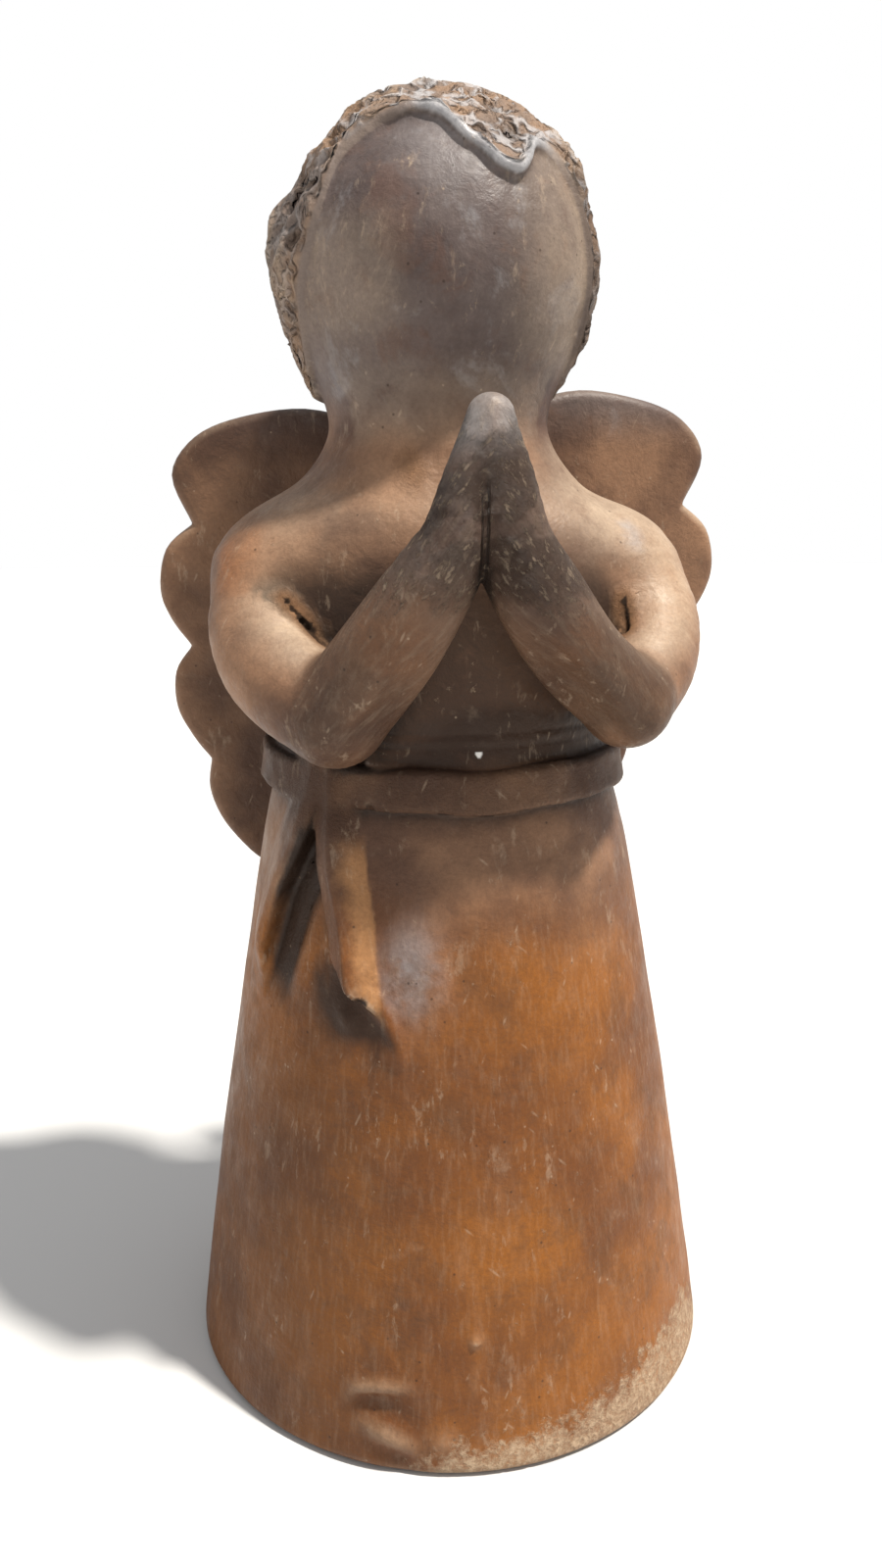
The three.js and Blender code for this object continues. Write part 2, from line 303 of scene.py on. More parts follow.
def through(rows, steps=8):
    """A smooth run of points through the rows."""
    rows = np.asarray(rows, float)
    ends = np.vstack([rows[:1], rows, rows[-1:]])
    t = (np.arange(steps) / steps)[:, None]
    spans = []
    for p0, p1, p2, p3 in zip(ends, ends[1:], ends[2:], ends[3:]):
        square = (2 * p0 - 5 * p1 + 4 * p2 - p3) * t**2
        cube = (3 * p1 - p0 - 3 * p2 + p3) * t**3
        spans.append(p1 + ((p2 - p0) * t + square + cube) / 2)
    return np.vstack([*spans, rows[-1:]])


def waved(angle, rows):
    """A sum of waves round an axis, from rows of waves, phase and size."""
    return sum(size * np.sin(waves * angle + phase) for waves, phase, size in rows)


class Noise:
    """Smooth repeatable noise of three dimensions, from about -1 to 1."""

    SIZE = 32

    def __init__(self, seed):
        self.values = np.random.default_rng(seed).uniform(-1, 1, (self.SIZE,) * 3)

    def __call__(self, p, wavelength):
        q = np.asarray(p) / wavelength
        cell = np.floor(q).astype(int)
        t = q - cell
        t = t * t * (3 - 2 * t)
        total = 0
        for corner in np.ndindex(2, 2, 2):
            share = np.prod(np.where(corner, t, 1 - t), axis=-1)
            total = total + share * self.values[tuple(((cell + corner) % self.SIZE).T)]
        return total


noise = Noise(5)
profile = through(STATIONS)
profile_slope = np.gradient(profile[:, 0], profile[:, 1])
hairline = through(HAIRLINE, 6)
hairline_slope = np.gradient(hairline[:, 1], hairline[:, 0])


def lean(z):
    """How far the figure leans sideways at that height."""
    return HEAD_LEAN * z / HEAD_Z


HEAD = np.array([lean(HEAD_Z), 0, HEAD_Z])


def shell_of(p):
    """The turned body's distance, and the azimuth and arc length at each point."""
    x, y, z = p.T
    chest = ramp(z, SKIRT_HEIGHT, CHEST_Z) * (1 - ramp(z, CHEST_Z, NECK_Z))
    shoulder = ramp(z, WAIST_Z, SHOULDER_Z) * (1 - ramp(z, SHOULDER_Z, NECK_Z))
    x = (x - lean(z)) / (1 + SHOULDER_SPREAD * shoulder)
    y = y / (1 - (1 - CHEST_DEPTH_SHARE) * chest)
    radius = np.interp(z, profile[:, 1], profile[:, 0])
    slope = np.interp(z, profile[:, 1], profile_slope)
    shell = (np.hypot(x, y) - radius) / np.sqrt(1 + slope**2)
    return meet(shell, z - NECK_TOP_Z, 4), np.degrees(np.arctan2(x, -y)), radius


def chain(p, rows):
    """The distance to a run of balls whose rows are x, y, z and radius."""
    best = np.full(len(p), FAR)
    for a, b in zip(rows, rows[1:]):
        along = b[:3] - a[:3]
        t = np.clip((p - a[:3]) @ along / (along @ along), 0, 1)
        off = np.linalg.norm(p - a[:3] - t[:, None] * along, axis=1)
        best = np.minimum(best, off - a[3] - t * (b[3] - a[3]))
    return best


def polygon(u, v, corners):
    """The signed distance to a closed outline in a plane."""
    best = np.full(len(u), FAR**2)
    odd = np.zeros(len(u), bool)
    for (x0, y0), (x1, y1) in zip(corners, np.roll(corners, -1, axis=0)):
        ex, ey = x1 - x0, y1 - y0
        t = np.clip(((u - x0) * ex + (v - y0) * ey) / (ex * ex + ey * ey), 0, 1)
        best = np.minimum(best, (u - x0 - t * ex) ** 2 + (v - y0 - t * ey) ** 2)
        if ey != 0:
            crosses = (y0 > v) != (y1 > v)
            odd ^= crosses & (u < (v - y0) * ex / ey + x0)
    return np.where(odd, -1, 1) * np.sqrt(best)


def local(shape, low, high, pad=22):
    """The shape's distance near its box, and the distance to that box further away."""
    low, high = np.asarray(low) * 1.0, np.asarray(high) * 1.0

    def distance(p):
        away = np.linalg.norm(np.maximum(np.maximum(low - p, p - high), 0), axis=1)
        near = away < pad
        away[near] = shape(p[near])
        return away

    return distance


def arm_shapes(arm):
    """The distances to an upper arm and to its forearm and hand."""
    upper = [
        (x * arm["spread"] + HANDS_SHIFT, y, z, r * arm["thickness"]) for x, y, z, r in UPPER_ARM
    ]
    shapes = []
    for rows in ([*upper, arm["elbow"]], [arm["elbow"], *arm["fore"]]):
        path = through(rows, 4)
        low = (path[:, :3] - path[:, 3:]).min(axis=0)
        high = (path[:, :3] + path[:, 3:]).max(axis=0)
        shapes.append((path, low, high))
    (upper_path, *upper_box), (fore_path, *fore_box) = shapes

    def forearm(p):
        flat = (p - arm["elbow"][:3]) @ np.array(arm["flat"]) - arm["flat_out"]
        return meet(chain(p, fore_path), flat, FLAT_EDGE)

    return local(lambda p: chain(p, upper_path), *upper_box), local(forearm, *fore_box)


def wing_shape(wing):
    """The distance to a wing: a scalloped plate with a dished middle."""
    side, tuck, (shift_x, shift_z) = wing["side"], wing["tuck"], wing["shift"]
    rim = np.vstack([through(rows, 5)[:-1] for rows in SCALLOPS] + [(58, 149)] + [WING_INNER])

    def distance(p):
        z = p[:, 2] - shift_z
        x = side * p[:, 0] - shift_x + tuck * np.maximum(WING_TUCK_Z - z, 0)
        flat = polygon(x, z, rim) + WING_EDGE
        dish = 0.9 * ramp(-flat, 2, 16)
        front = WING_MID_Y + WING_SWEEP * side * p[:, 0] - p[:, 1]
        thick = np.abs(front) - WING_HALF + WING_EDGE + dish * 0.5
        inner = np.minimum(np.maximum(flat, thick), 0)
        return np.hypot(np.maximum(flat, 0), np.maximum(thick, 0)) + inner - WING_EDGE

    reach = np.abs(rim[:, 0]).max() + shift_x
    low = (min(0, side * reach), WING_MID_Y - WING_HALF, 145)
    high = (max(0, side * reach), WING_MID_Y + WING_SWEEP * reach + WING_HALF, 320)
    return local(distance, low, high)


def slit(rows, pad=8):
    """The distance to a slit or pit, worked out near it."""
    rows = np.array(rows, float)
    low, high = rows[:, :3].min(axis=0), rows[:, :3].max(axis=0)
    return local(lambda p: chain(p, rows), low, high, pad)


left_arm = arm_shapes(LEFT_ARM)
right_arm = arm_shapes(RIGHT_ARM)
cracks = [slit(rows) for rows in CRACKS]
crooks, tail_pit = cracks[:2], cracks[-1]
wings = [wing_shape(LEFT_WING), wing_shape(RIGHT_WING)]


def along_run(azimuth, z, radius, rows):
    """How far along a run on the body each point is, and how far to its right, in mm."""
    u = np.radians(azimuth) * radius
    best = np.full(len(z), np.inf)
    share = np.zeros(len(z))
    side = np.zeros(len(z))
    beyond = np.zeros(len(z))
    rows = np.asarray(rows, float)
    radii = np.interp(rows[:, 1], profile[:, 1], profile[:, 0])
    xs = np.radians(rows[:, 0]) * radii
    points = np.column_stack([xs, rows[:, 1]])
    lengths = np.linalg.norm(np.diff(points, axis=0), axis=1)
    starts = np.concatenate([[0], np.cumsum(lengths)])
    for k, (a, b) in enumerate(zip(points, points[1:])):
        along = (b - a) / lengths[k]
        t = (u - a[0]) * along[0] + (z - a[1]) * along[1]
        clipped = np.clip(t, 0, lengths[k])
        across = (z - a[1]) * along[0] - (u - a[0]) * along[1]
        off = np.hypot(t - clipped, across)
        nearer = off < best
        best = np.where(nearer, off, best)
        side = np.where(nearer, across, side)
        share = np.where(nearer, starts[k] + clipped, share)
        beyond = np.where(nearer, t - clipped, beyond)
    return share, side, starts[-1], beyond


def tail(shell, azimuth, z, radius, form):
    """One ribbon of the sash, pressed on the skirt."""
    share, side, length, beyond = along_run(azimuth, z, radius, through(form["run"], 3))
    half = np.interp(share, [0, length], form["width"])
    q = side / half
    ends = np.array(form["section"])
    proud = np.interp(share, [0, length * 0.45], form["proud"])
    proud = proud * np.interp(q, ends[:, 0], ends[:, 1])
    end = length + form["slant"] * side
    proud = proud * (1 - ramp(share + beyond, end - form["fade"], end))
    past = np.maximum(share + beyond - end, -share - beyond)
    return meet(shell - proud, np.maximum(np.abs(side) - half, past), 1.5)


def band(shell, z):
    """The belt: a rounded strip round the waist."""
    up = np.abs(z - BELT_Z) - BELT_HALF + BELT_EDGE
    out = shell - BELT_PROUD + BELT_EDGE
    inner = np.minimum(np.maximum(up, out), 0)
    return np.hypot(np.maximum(up, 0), np.maximum(out, 0)) + inner - BELT_EDGE


def marks(azimuth, z, radius):
    """How much the folds, scars and hollows raise or sink the skirt's skin."""
    rise = np.zeros(len(z))
    for rows, width, height in MARKS:
        share, side, length, beyond = along_run(azimuth, z, radius, rows)
        middle = share / length * (1 - share / length)
        rise += height * (0.45 + 2.2 * middle) * np.exp(-(side**2 + beyond**2) / width**2)
    return rise - GUTTER_DEPTH * gutter(azimuth, z, radius)


def gutter(azimuth, z, radius):
    """The hollow beside the left tail: steep on its left, and running out on its right."""
    share, side, length, beyond = along_run(azimuth, z, radius, GUTTER)
    wide = 3 + GUTTER_WIDTH * ramp(share, 0, 16)
    across = ramp(side, -1.5, 0.5) * (1 - ramp(side / wide, 0.6, 1.1))
    return across * ramp(share, 0, 6) * (1 - ramp(share, length - 16, length)) * (beyond == 0)


def hair_reach(p):
    """How far inside the hairline each point is, in mm on the head's surface."""
    x, y, z = (p - HEAD).T
    azimuth = np.degrees(np.arctan2(x, -y))
    elevation = np.degrees(np.arctan2(z, np.hypot(x, y)))
    line = np.interp(azimuth, hairline[:, 0], hairline[:, 1])
    slope = np.interp(azimuth, hairline[:, 0], hairline_slope)
    steep = slope / np.maximum(np.cos(np.radians(elevation)), 0.2)
    reach = np.radians(elevation - line) * HEAD_RADIUS / np.sqrt(1 + steep**2)
    return reach + waved(np.radians(azimuth), HAIR_WANDER)


def front_share(p):
    """1 over the brow, falling to 0 at the sides of the head."""
    azimuth = np.degrees(np.arctan2(p[:, 0] - HEAD[0], -p[:, 1]))
    return ramp(azimuth, -42, -20) * (1 - ramp(azimuth, 34, 52))


def figure(p):
    """The signed distance to the whole figure's surface, in mm."""
    z = p[:, 2]
    shell, azimuth, radius = shell_of(p)
    surface = shell.copy()
    low = (z < SASH_TOP_Z) & (np.abs(shell) < NEAR) & (np.abs(azimuth) < SASH_REACH)
    if low.any():
        skirt = (shell[low], azimuth[low], z[low], radius[low])
        skin = skirt[0] - marks(*skirt[1:])
        for form in (TAIL_A, TAIL_B):
            skin = join(skin, tail(*skirt, form), FINE_BLEND)
        surface[low] = skin
    belly = np.abs(azimuth + 5) < BELLY_HALF_WIDTH
    grooves = sum(np.exp(-(((z - height) / half) ** 2)) for height, half in BELLY_GROOVES)
    surface = surface + BELLY_GROOVE_DEPTH * grooves * belly
    wander = waved(np.radians(azimuth), BELT_WANDER)
    surface = join(surface, band(shell + 0.5 * wander, z + wander), 1.2)
    ball = np.linalg.norm(p - HEAD, axis=1) - HEAD_RADIUS
    surface = join(surface, ball, NECK_BLEND)
    high = (z > HEAD_FOOT_Z) & (ball < NEAR)
    if high.any():
        reach = hair_reach(p[high])
        brow = front_share(p[high])
        uneven = 0.8 + waved(np.arctan2(p[high, 0] - HEAD[0], -p[high, 1]), RIM_WANDER)
        rim = RIM_RISE * uneven * (0.15 + 0.85 * brow)
        rim = rim * np.exp(-(((reach - RIM_IN) / RIM_WIDTH) ** 2))
        thick = HAIR_THICKNESS * (0.74 + 0.14 * brow)
        cap = meet(surface[high] - thick - rim, -reach, HAIR_EDGE + 1.8 * (1 - brow))
        surface[high] = join(surface[high], cap, FINE_BLEND)
    shoulder = np.interp(z, SHOULDER_BLEND[2:], SHOULDER_BLEND[:2])
    for upper in (left_arm[0], right_arm[0]):
        surface = join(surface, upper(p), shoulder)
    hands = np.interp(z, HANDS_BLEND[2:], HANDS_BLEND[:2])
    surface = join(surface, join(left_arm[1](p), right_arm[1](p), hands), 2.5)
    for wing in wings:
        surface = join(surface, wing(p), WING_BLEND)
    for crack in cracks:
        surface = meet(surface, -crack(p), 0.5)
    rings = RING_DEPTH * np.sin(z * math.tau / RING_GAP + np.radians(azimuth))
    dome = z - HOLLOW_TOP_Z + DOME_RISE * (np.hypot(p[:, 0], p[:, 1]) / DOME_RADIUS) ** 2
    hollow = meet(shell + WALL + rings, dome, DOME_BLEND)
    surface = meet(surface, -hollow, LIP_EDGE)
    return meet(surface, -z, HEM_EDGE)


def evaluate(shape, p, chunk=200000):
    """The shape's distance at many points, a part of them at a time."""
    return np.concatenate([shape(p[i : i + chunk]) for i in range(0, len(p), chunk)])


def gradient(p, step=0.25):
    """The distance and its slope at each point, from four samples round it."""
    corners = np.array([(1, -1, -1), (-1, -1, 1), (-1, 1, -1), (1, 1, 1)])
    values = [evaluate(figure, p + step * corner) for corner in corners]
    slope = sum(value[:, None] * corner for value, corner in zip(values, corners)) / (4 * step)
    return sum(values) / 4, slope


def surface_net(shape, low, high, step, block=4, margin=6.5):
    """Quads on the surface where a distance changes sign, one vertex to each crossed cell."""
    low, high = np.asarray(low, float), np.asarray(high, float)
    counts = np.ceil((high - low) / step / block).astype(int) + 1
    blocks = np.stack(np.meshgrid(*map(np.arange, counts), indexing="ij"), -1).reshape(-1, 3)
    rough = evaluate(shape, low + step * (blocks * block + (block - 1) / 2))
    values = np.where(rough < 0, -FAR, FAR).astype(np.float32).reshape(counts)
    for axis in range(3):
        values = np.repeat(values, block, axis)
    offsets = np.stack(np.meshgrid(*[np.arange(block)] * 3, indexing="ij"), -1).reshape(-1, 3)
    near = blocks[np.abs(rough) < margin * step]
    nodes = (near[:, None] * block + offsets).reshape(-1, 3)
    values[tuple(nodes.T)] = evaluate(shape, low + step * nodes)
    inside = values < 0
    size = np.array(values.shape)
    place = np.array([size[1] * size[2], size[2], 1])
    cells, crossings = [], []
    for axis in range(3):
        unit = np.eye(3, dtype=int)[axis]
        second, third = np.eye(3, dtype=int)[(axis + 1) % 3], np.eye(3, dtype=int)[(axis + 2) % 3]
        here = np.moveaxis(inside, axis, 0)
        edges = np.argwhere(here[:-1] != here[1:])
        edges = edges[:, np.argsort([axis, *[a for a in range(3) if a != axis]])]
        first = values[tuple(edges.T)]
        last = values[tuple((edges + unit).T)]
        share = (first / (first - last))[:, None]
        around = [edges, edges - second, edges - second - third, edges - third]
        quad = np.stack([cell @ place for cell in around], 1)
        quad[first > 0] = quad[first > 0][:, ::-1]
        cells.append(quad)
        crossings.append(edges + share * unit)
    quads = np.vstack(cells)
    points = np.repeat(np.vstack(crossings), 4, axis=0)
    index = np.unique(quads.ravel(), return_inverse=True)[1]
    number = np.bincount(index)
    mean = [np.bincount(index, points[:, axis]) / number for axis in range(3)]
    return low + step * np.stack(mean, 1), index.reshape(-1, 4)


def settle(p, times, most=0.6):
    """Moves points onto the surface."""
    for _ in range(times):
        distance, slope = gradient(p)
        scale = distance / np.maximum((slope**2).sum(1), 0.3)
        p = p - slope * np.clip(scale, -most, most)[:, None]
    return p


def curls(p):
    """Rise of the curls at points of the hair, how much each is a pit, and the hair's reach."""
    rng = np.random.default_rng(CURL_SEED)
    ball = HEAD_RADIUS + HAIR_THICKNESS
    count = int(4 * math.pi * ball**2 / (CURL_GAP**2 * HEXAGON_SHARE))
    turn = np.arange(count) + 0.5
    up = 1 - 2 * turn / count
    angle = turn * GOLDEN_ANGLE
    flat = np.sqrt(1 - up**2)
    centres = np.stack([flat * np.cos(angle), flat * np.sin(angle), up], 1) * ball
    centres += rng.normal(0, CURL_GAP * 0.22, centres.shape)
    depth = rng.uniform(0.2, 1.3, count)
    width = rng.uniform(1.9, 3.1, count)
    bead_shift = rng.normal(0, 1.1, centres.shape)
    reach = hair_reach(p)
    away = p - HEAD
    away = away / np.linalg.norm(away, axis=1)[:, None] * ball
    away = away + 1.7 * np.stack([noise(p + shift, 5) for shift in (0, 40, 80)], 1)
    rise, pit = np.zeros(len(p)), np.zeros(len(p))
    off = np.linalg.norm(p - HEAD, axis=1) - HEAD_RADIUS
    hairy = np.flatnonzero((reach > -1) & (off > 0) & (off < 8))
    for i in range(0, len(hairy), 40000):
        part = hairy[i : i + 40000]
        gaps = np.linalg.norm(away[part][:, None] - centres[None], axis=2)
        order = np.argpartition(gaps, 2, axis=1)[:, :2]
        pair = np.take_along_axis(gaps, order, 1)
        nearest = order[np.arange(len(part)), pair.argmin(1)]
        low, high = pair.min(1), pair.max(1)
        wall = np.exp(-(((high - low) / 1.5) ** 2)) * (0.7 + 0.5 * noise(p[part] + 30, 8))
        hole = np.exp(-((low / width[nearest]) ** 4)) * depth[nearest]
        bead = np.linalg.norm(away[part] - centres[nearest] - bead_shift[nearest], axis=1)
        inner = ramp(reach[part], 0.9, 3.6)
        rise[part] = inner * (1.1 * wall - 1.5 * hole + 0.9 * np.exp(-((bead / 1.1) ** 2)))
        pit[part] = inner * np.minimum(hole, 1)
    lumps = 1.8 * noise(p, 18) + 1.6 * noise(p + 9, 9)
    rise[hairy] += (lumps * ramp(reach, 0.5, 7))[hairy]
    return rise, pit, reach


def mesh_of(name, p, faces):
    mesh = bpy.data.meshes.new(name)
    mesh.vertices.add(len(p))
    mesh.vertices.foreach_set("co", np.asarray(p, np.float32).ravel())
    mesh.loops.add(faces.size)
    mesh.loops.foreach_set("vertex_index", faces.ravel().astype(np.int32))
    mesh.polygons.add(len(faces))
    starts = np.arange(0, faces.size, faces.shape[1], dtype=np.int32)
    mesh.polygons.foreach_set("loop_start", starts)
    mesh.update(calc_edges=True)
    mesh.validate()
    return mesh


def points_of(mesh):
    flat = np.empty(len(mesh.vertices) * 3, np.float32)
    mesh.vertices.foreach_get("co", flat)
    return flat.reshape(-1, 3).astype(float)


def decimated(mesh, faces):
    """The same surface with about that many triangles."""
    piece = bpy.data.objects.new("decimated", mesh)
    bpy.context.collection.objects.link(piece)
    modifier = piece.modifiers.new("fewer", "DECIMATE")
    modifier.ratio = faces / (2 * len(mesh.polygons))
    graph = bpy.context.evaluated_depsgraph_get()
    result = bpy.data.meshes.new_from_object(piece.evaluated_get(graph))
    bpy.data.objects.remove(piece)
    return result


# The mesh: the figure's surface, then its fine unevenness, then fewer triangles
points, quads = surface_net(figure, MESH_LOW, MESH_HIGH, STEP)
points = settle(points, 2)
slopes = gradient(points)[1]
normals = slopes / np.linalg.norm(slopes, axis=1)[:, None]
scratched = within(points[:, 2], 256, 266, 298, 304)
scratched = scratched * (points[:, 1] < -60) * ramp(noise(points, 11), -0.25, 0.25)
scratches = 0.35 * noise(points * (1, 1, 0.6), 2.6) + 0.2 * noise(points, 1.7)
wander = 0.35 * noise(points, 34) + 0.2 * noise(points + 7, 15)
sashed = ramp(shell_of(points)[0], 1.2, 3) * within(points[:, 2], 150, 180, 207, 211)
sashed = sashed * (points[:, 1] < 30)
wander = wander + sashed * (0.3 * noise(points + 3, 6) + 0.16 * noise(points, 2.8))
rise = curls(points)[0] + scratched * scratches + wander * (points[:, 2] > 2)
points = points + normals * rise[:, None]
clay_mesh = decimated(mesh_of("fine", points, quads), TRIANGLES)

# What the looks are worked out from, at each point of the final mesh
points = points_of(clay_mesh)
slopes = gradient(points)[1]
normals = slopes / np.linalg.norm(slopes, axis=1)[:, None]
rise, pit, reach = curls(points)
# How shut in each point is, for the painted shade in crevices
painted_crevice_shade = np.zeros(len(points))
for gap in (2.5, 6, 12):
    open_air = evaluate(figure, points + normals * gap) / gap
    painted_crevice_shade += np.clip(1 - open_air, 0, 1) / 3
shell, azimuth, radius = shell_of(points)


# Where each clay, stain, mark, painted shade and painted light lies: a share from 0 to 1 at each
# point of the mesh
def attribute(name, values):
    """Gives the mesh a value at each point, for the material to read."""
    layer = clay_mesh.attributes.new(name, "FLOAT", "POINT")
    layer.data.foreach_set("value", np.asarray(values, np.float32))


def patch(place, reach):
    """1 in the middle of an uneven patch, falling to 0 at its reach."""
    away = np.linalg.norm((points - np.array(place)) / reach, axis=1)
    return 1 - ramp(away + 0.5 * blotch + 0.5 * noise(points, 9), 0.4, 1.1)


x, y, z = points.T
side = x - lean(z)
blotch = noise(points, 46) * 0.6 + noise(points + 50, 21) * 0.4

# Parts of the figure
from_head = np.linalg.norm(points - HEAD, axis=1)
hair = ramp(reach, -0.4, 0.8) * (from_head > HEAD_RADIUS - 0.5) * (from_head < HEAD_RADIUS + 9)
bare = 1 - hair
inside = (shell < -WALL + 1.5) * 1.0
on_wing = ramp(shell, 2, 6) * (y > 30) * (from_head > HEAD_RADIUS + 9)
forearm = np.minimum(left_arm[1](points), right_arm[1](points))
on_forearm = ramp(forearm, 3, 0) * (y < -40)
hands = within(z, 250, 264, 300, 306) * (y < -50)
seam = within(z, 258, 262, 282, 288) * (y < -70)
belt = ramp(shell, 1.5, 3) * within(z, 180, 190, 206, 209) * (y < 30)
along, right_of, length, past = along_run(azimuth, z, radius, through(TAIL_B["run"], 3))
across_tail = np.clip(right_of / np.interp(along, [0, length], TAIL_B["width"]), -2, 2)
ribbon = (1 - ramp(np.abs(across_tail), 0.9, 1.15)) * ramp(shell, 0.3, 0.9) * ramp(z, 189, 180)
slanted_end = along + past - TAIL_B["slant"] * right_of
ribbon = ribbon * (1 - ramp(slanted_end, length - TAIL_B["fade"], length))

# Orange below, brown in the middle and grey on the head
skirt = ramp(z, 182 + 9 * blotch, 150 + 16 * blotch) * (1 - on_wing)
grey = ramp(z, 296, 318 + 8 * blotch)
grey = np.clip(np.maximum(grey, 0.6 * on_forearm * ramp(z, 240, 275)), 0, 1)

# Hollow and proud places
bulge = np.clip(1 + evaluate(figure, points - normals * 2.5) / 2.5, 0, 1)
relief_marks = marks(azimuth, z, radius) + GUTTER_DEPTH * gutter(azimuth, z, radius)
relief_marks = relief_marks * (z < 120) * (shell > -4)
scar = np.clip(relief_marks / 1.6, 0, 1)

# Burnt and dirty clay, and painted shade: the belly and the skirt under the belt in the arms'
# shadow, the skirt's unlit left, sunken marks, the lower face, the gutter, the sash's cut end and
# pit, and the hair's shaded side
front = 1 - ramp(np.abs(azimuth + 3), 38, 62)
# Painted shade with soot: the belly between and under the arms darker
burn_and_shade = within(z, 205, 209, 226 + 30 * front, 240 + 30 * front) * (shell < 5) * (1 - on_wing)
# Painted shade: a darker band at the belt and just below it
burn_and_shade = burn_and_shade + 0.42 * within(z, 186, 196, 205, 209) * (shell < 9)
elbow_soot = np.min([chain(points, np.array(rows, float)) for rows in SOOTY_ELBOWS], 0)
burn_and_shade = np.maximum(burn_and_shade, 0.7 * ramp(elbow_soot, 6 + 4 * blotch, -1))
burn_and_shade = np.maximum(burn_and_shade, (0.6 + 0.3 * blotch) * on_forearm)
burn_and_shade = np.maximum(burn_and_shade, 0.36 * within(z, 262, 270, 288, 296) * on_forearm)
# Darker wings, with more painted shade on the left one, away from the light
burn_and_shade = burn_and_shade + (0.16 + 0.14 * ramp(side, 5, -5)) * on_wing
# Painted shade: the low left of the skirt, away from the light, darker
burn_and_shade = burn_and_shade + 0.4 * ramp(azimuth, -5, -40) * ramp(z, 135, 100) * (1 - inside)
# Painted shadow of the arms on the upper skirt
burn_and_shade = burn_and_shade + 0.16 * within(z, 150, 172, 188, 200) * (shell < 9) * ramp(azimuth, 60, 30)
# Painted shade in the sunken marks
burn_and_shade = burn_and_shade + 0.3 * np.clip(-relief_marks, 0, 1)
# Painted shade on the lower face
burn_and_shade = burn_and_shade + 0.22 * spot(z, 330, 16) * (y < -20) * bare
burn_and_shade = burn_and_shade + 0.12 * on_forearm * (side > 0)
# Painted shade with soot: the gutter beside the left tail, the sash's cut end facing down, and the
# pit in it, darker
hollow_side = gutter(azimuth, z, radius) * (z < 200) * (shell > -4)
end_run = along_run(azimuth, z, radius, CUT_END)
cut_end_shade = ramp(np.abs(end_run[1] + 4) + np.abs(end_run[3]), 12, 5)
cut_end_shade = cut_end_shade * (shell > -4) * ramp(z, 125, 131)
shadow_and_soot = np.maximum(np.clip(1.15 * hollow_side, 0, 0.95), 0.85 * cut_end_shade)
shadow_and_soot = np.maximum(shadow_and_soot, ramp(tail_pit(points), 0.5, 0))
# Painted shade on the hair: darker pits on the left, away from the light, and a darker strip low on
# the right side
painted_hair_shade = 0.7 * pit * ramp(side, -12, -30) * hair
painted_hair_shade = np.maximum(painted_hair_shade, 0.6 * ramp(side, 27, 37) * ramp(z, 382, 368) * hair)

# Dust, scuffs, bloom and lime, and painted light: paler upward faces and right of the face, and
# painted highlights on the upper face and the right shoulder
# Paler from dust, and painted light: upward faces lit from above, the hand tips, the neck and the
# right of the face, which faces the light
upward = ramp(normals[:, 2], 0, 0.8) * ramp(normals[:, 0], -0.9, 0.2)
scuffed = ramp(side, -8, -24) * within(z, 318, 334, 348, 362) * bare
dust_and_painted_light = upward * within(z, 228, 245, 296, 312) * (1 - 0.8 * on_forearm)
dust_and_painted_light = dust_and_painted_light * (0.5 + 0.5 * ramp(np.abs(side), 26, 44))
dust_and_painted_light = np.maximum(dust_and_painted_light, 0.3 * ramp(z, 292, 304) * on_forearm)
dust_and_painted_light = np.maximum(dust_and_painted_light, 0.6 * ramp(side, 8, 40) * ramp(z, 312, 326) * bare)
dust_and_painted_light = np.maximum(dust_and_painted_light, 0.3 * within(z, 292, 302, 312, 324) * (y < -20) * (shell < 12))
dust_and_painted_light = np.maximum(dust_and_painted_light, 0.35 * scuffed)
# Where the right shoulder's whitish glaze streak and its painted highlight lie
shoulder_glaze_and_highlight = np.linalg.norm((points - np.array((51.5, -25, 271))) / (4, 5, 9), axis=1)
bloom_and_highlight = spot(azimuth, -14.5, 7.5) * spot(z, 150, 12) * (shell < 1.5)
# Painted highlight on the upper right of the face
bloom_and_highlight += 0.5 * spot(side, 1, 15) * spot(z, 374, 13) * bare
bloom_and_highlight += 0.8 * ramp(z, 290, 302) * on_forearm
bloom_and_highlight += 0.8 * (1 - ramp(shoulder_glaze_and_highlight, 0.4, 1.2))
crust_top = np.interp(azimuth, *CRUST_TOP)
crust = np.clip((crust_top - z) / 14 + 0.5, 0, 1) * (crust_top > 0.5)
white_speck = np.exp(-((points - np.array(SPECK_PLACE)) ** 2).sum(1) / SPECK_REACH**2)

# Warm and raw clay
warm = 0.8 * patch((-66, -24, 266), (9, 12, 14))
warm = np.maximum(warm, 0.5 * patch((-24, -78, 248), (14, 12, 14)))
warm = np.maximum(warm, 0.4 * patch((26, -78, 246), (9, 12, 12)))
chafed = patch((-14, -35, 289), (8, 8, 9)) * (shell < 3)
in_crooks = np.min([evaluate(crack, points) for crack in crooks], 0)
torn = np.maximum(ramp(in_crooks, 4.5, 0.5), 0.7 * chafed)

# Painted sheen of steel grey along the hair's front edge where the light falls, and tan on the
# crown, partly painted light on its lit top
brow_from = np.degrees(np.arctan2(points[:, 0] - HEAD[0], -y))
brow = front_share(points) * ramp(brow_from, -28, -4)
brow = brow * (1 - ramp(reach + 2 * blotch, 1.8, 5.5)) * hair
# Higher on the head and towards the right: the crown, with partly painted light on its lit top
crown = ramp(z + 0.25 * side, 352, 376)

